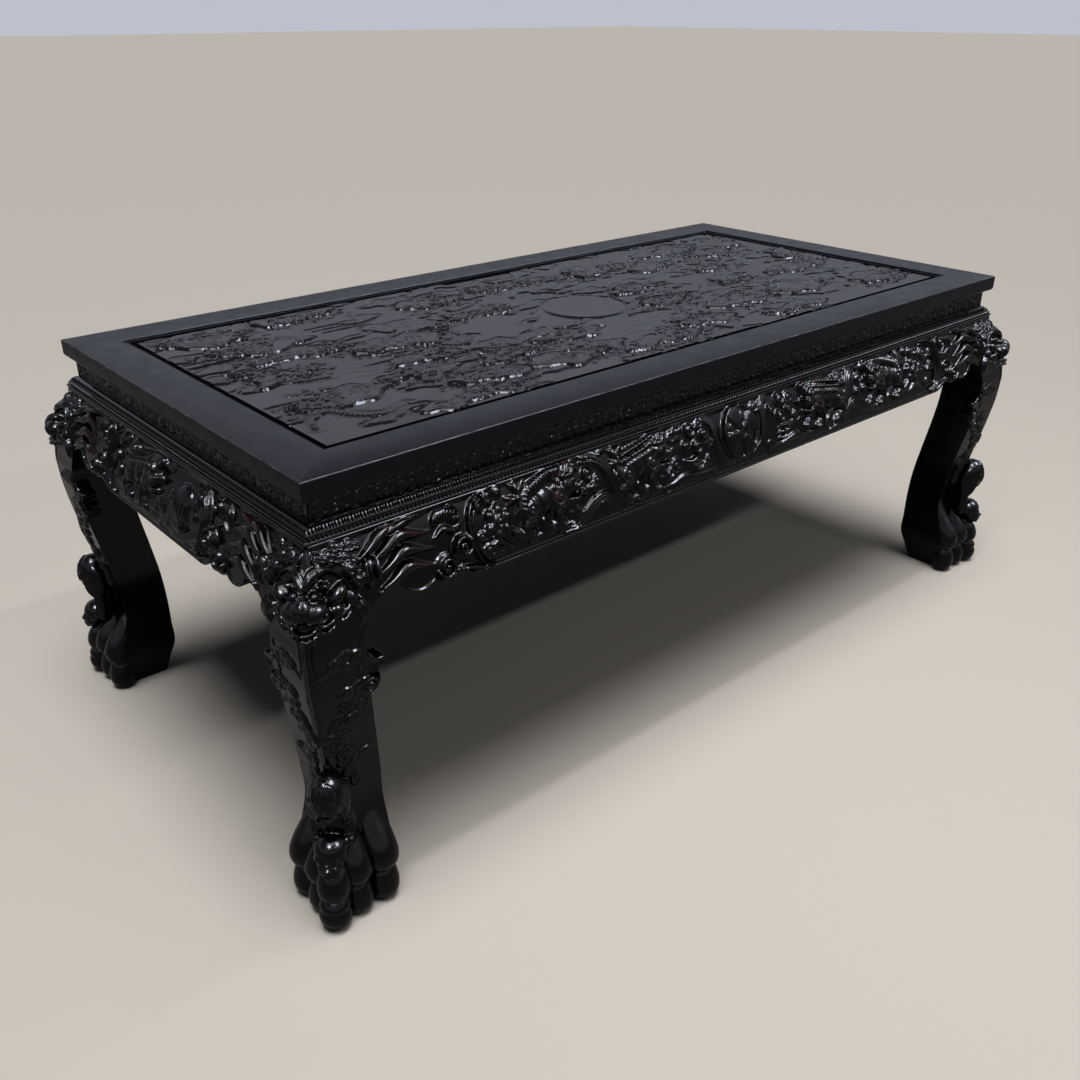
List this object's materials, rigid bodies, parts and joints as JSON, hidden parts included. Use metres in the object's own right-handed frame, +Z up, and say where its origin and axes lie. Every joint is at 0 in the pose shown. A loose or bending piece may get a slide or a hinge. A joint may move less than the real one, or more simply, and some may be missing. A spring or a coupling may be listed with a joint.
{
  "type": "painting table",
  "caption": "Long waisted painting table with a framed carved top, swelled carved aprons, cabriole legs with mask shoulders, paw feet and ankle lions.",
  "frame": {"origin": "on the floor under the middle of the top", "axes": "+X along the length to the right as seen from the front, +Y to the back, +Z up"},
  "size_m": [2.14, 1.12, 0.81],
  "materials": {
    "satin_lacquer": "satin black lacquer",
    "gloss_lacquer": "gloss black lacquer on carved hardwood",
    "plain_hardwood": "planed dark hardwood, thinly stained"
  },
  "bodies": {
    "root": {"frame_rail_front": "satin_lacquer", "frame_rail_back": "satin_lacquer", "frame_end_left": "satin_lacquer", "frame_end_right": "satin_lacquer", "panel_board_front": "gloss_lacquer", "panel_board_middle": "gloss_lacquer", "panel_board_back": "gloss_lacquer", "waist_front": "gloss_lacquer", "waist_back": "gloss_lacquer", "waist_left": "gloss_lacquer", "waist_right": "gloss_lacquer", "moulding_front": "gloss_lacquer", "moulding_back": "gloss_lacquer", "moulding_left": "gloss_lacquer", "moulding_right": "gloss_lacquer", "apron_front": "gloss_lacquer", "apron_back": "gloss_lacquer", "apron_left": "gloss_lacquer", "apron_right": "gloss_lacquer", "leg_front_left": "gloss_lacquer", "leg_front_right": "gloss_lacquer", "leg_back_left": "gloss_lacquer", "leg_back_right": "gloss_lacquer", "ankle_lion_front_left": "gloss_lacquer", "ankle_lion_front_right": "gloss_lacquer", "ankle_lion_back_left": "gloss_lacquer", "ankle_lion_back_right": "gloss_lacquer", "panel_batten_1": "plain_hardwood", "panel_batten_2": "plain_hardwood", "panel_batten_3": "plain_hardwood", "panel_batten_4": "plain_hardwood", "moulding_dowels": "plain_hardwood", "apron_hanging_keys": "plain_hardwood", "ankle_lion_pegs": "plain_hardwood"}
  },
  "joints": []
}
